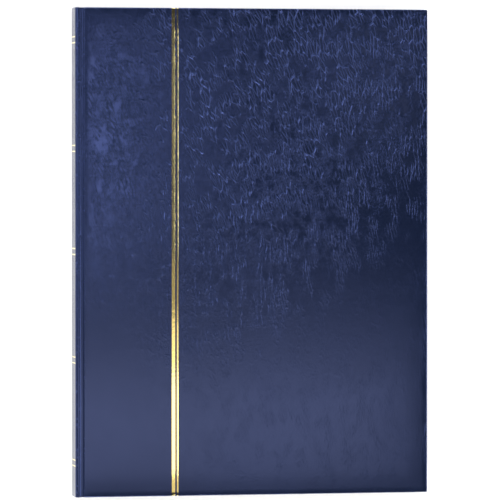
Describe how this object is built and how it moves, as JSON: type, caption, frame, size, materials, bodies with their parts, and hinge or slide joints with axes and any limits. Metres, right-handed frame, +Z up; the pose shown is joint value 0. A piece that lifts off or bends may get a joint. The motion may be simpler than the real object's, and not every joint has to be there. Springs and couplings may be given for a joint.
{
  "type": "stamp album",
  "caption": "Hardback stockbook: leatherette covers and spine with gold foil lines, and a sewn block of card leaves with clear pocket strips for stamps.",
  "frame": {"origin": "centre of the closed album's underside, which is the back cover's outer face", "axes": "+X from the spine to the fore-edge, +Y to the head, +Z up through the front cover"},
  "size_m": [0.225, 0.305, 0.016],
  "materials": {
    "board": "matt greyboard",
    "leatherette": "grained navy leatherette, semi-gloss",
    "gold_foil": "bright hot-stamped foil",
    "endpaper": "matt black paper",
    "kraft_paper": "matt kraft paper",
    "linen": "plain-woven linen",
    "black_card": "matt black card",
    "clear_film": "clear glossy film",
    "glassine": "thin translucent paper",
    "thread": "twisted cotton thread"
  },
  "bodies": {
    "back_cover": {"back_board": "board", "back_cover_leatherette": "leatherette", "back_endpaper": "endpaper"},
    "spine": {"spine_board": "board", "spine_leatherette": "leatherette", "spine_liner": "kraft_paper", "spine_gold_lines": "gold_foil", "spine_lining": "linen", "linen_guards": "linen", "sewing_thread": "thread", "front_joint_leather": "leatherette", "back_joint_leather": "leatherette"},
    "front_cover": {"front_board": "board", "front_cover_leatherette": "leatherette", "front_endpaper": "endpaper", "front_wide_gold_line": "gold_foil", "front_narrow_gold_line": "gold_foil"},
    "leaf_1": {"leaf_1_card": "black_card", "leaf_1_pockets": "clear_film", "leaf_1_hinge": "linen", "leaf_1_interleaf": "glassine"},
    "leaf_2": {"leaf_2_card": "black_card", "leaf_2_pockets": "clear_film", "leaf_2_hinge": "linen", "leaf_2_interleaf": "glassine"},
    "leaf_3": {"leaf_3_card": "black_card", "leaf_3_pockets": "clear_film", "leaf_3_hinge": "linen", "leaf_3_interleaf": "glassine"},
    "leaf_4": {"leaf_4_card": "black_card", "leaf_4_pockets": "clear_film", "leaf_4_hinge": "linen", "leaf_4_interleaf": "glassine"},
    "leaf_5": {"leaf_5_card": "black_card", "leaf_5_pockets": "clear_film", "leaf_5_hinge": "linen", "leaf_5_interleaf": "glassine"},
    "leaf_6": {"leaf_6_card": "black_card", "leaf_6_pockets": "clear_film", "leaf_6_hinge": "linen", "leaf_6_interleaf": "glassine"},
    "leaf_7": {"leaf_7_card": "black_card", "leaf_7_pockets": "clear_film", "leaf_7_hinge": "linen", "leaf_7_interleaf": "glassine"},
    "leaf_8": {"leaf_8_card": "black_card", "leaf_8_pockets": "clear_film", "leaf_8_hinge": "linen", "leaf_8_interleaf": "glassine"}
  },
  "joints": [
    {"name": "spine_fold", "type": "hinge", "parent": "back_cover", "child": "spine", "pos_m": [-0.1103, 0, 0.0027], "axis": [0, -1, 0], "range_deg": [0, 90]},
    {"name": "front_cover_fold", "type": "hinge", "parent": "spine", "child": "front_cover", "pos_m": [-0.1103, 0, 0.0133], "axis": [0, -1, 0], "range_deg": [0, 90]},
    {"name": "leaf_1_turn", "type": "hinge", "parent": "spine", "child": "leaf_1", "pos_m": [-0.1074, 0, 0.01206], "axis": [0, -1, 0], "range_deg": [0, 90]},
    {"name": "leaf_2_turn", "type": "hinge", "parent": "spine", "child": "leaf_2", "pos_m": [-0.1074, 0, 0.01086], "axis": [0, -1, 0], "range_deg": [0, 90]},
    {"name": "leaf_3_turn", "type": "hinge", "parent": "spine", "child": "leaf_3", "pos_m": [-0.1074, 0, 0.00966], "axis": [0, -1, 0], "range_deg": [0, 90]},
    {"name": "leaf_4_turn", "type": "hinge", "parent": "spine", "child": "leaf_4", "pos_m": [-0.1074, 0, 0.00846], "axis": [0, -1, 0], "range_deg": [0, 90]},
    {"name": "leaf_5_turn", "type": "hinge", "parent": "spine", "child": "leaf_5", "pos_m": [-0.1074, 0, 0.00726], "axis": [0, -1, 0], "range_deg": [-90, 0]},
    {"name": "leaf_6_turn", "type": "hinge", "parent": "spine", "child": "leaf_6", "pos_m": [-0.1074, 0, 0.00606], "axis": [0, -1, 0], "range_deg": [-90, 0]},
    {"name": "leaf_7_turn", "type": "hinge", "parent": "spine", "child": "leaf_7", "pos_m": [-0.1074, 0, 0.00486], "axis": [0, -1, 0], "range_deg": [-90, 0]},
    {"name": "leaf_8_turn", "type": "hinge", "parent": "spine", "child": "leaf_8", "pos_m": [-0.1074, 0, 0.00366], "axis": [0, -1, 0], "range_deg": [-90, 0]}
  ],
  "couplings": [
    {"joint": "leaf_1_turn", "follows": "front_cover_fold", "ratio": 0.956},
    {"joint": "leaf_2_turn", "follows": "front_cover_fold", "ratio": 0.856},
    {"joint": "leaf_3_turn", "follows": "front_cover_fold", "ratio": 0.756},
    {"joint": "leaf_4_turn", "follows": "front_cover_fold", "ratio": 0.656},
    {"joint": "leaf_5_turn", "follows": "spine_fold", "ratio": -0.656},
    {"joint": "leaf_6_turn", "follows": "spine_fold", "ratio": -0.756},
    {"joint": "leaf_7_turn", "follows": "spine_fold", "ratio": -0.856},
    {"joint": "leaf_8_turn", "follows": "spine_fold", "ratio": -0.956}
  ]
}
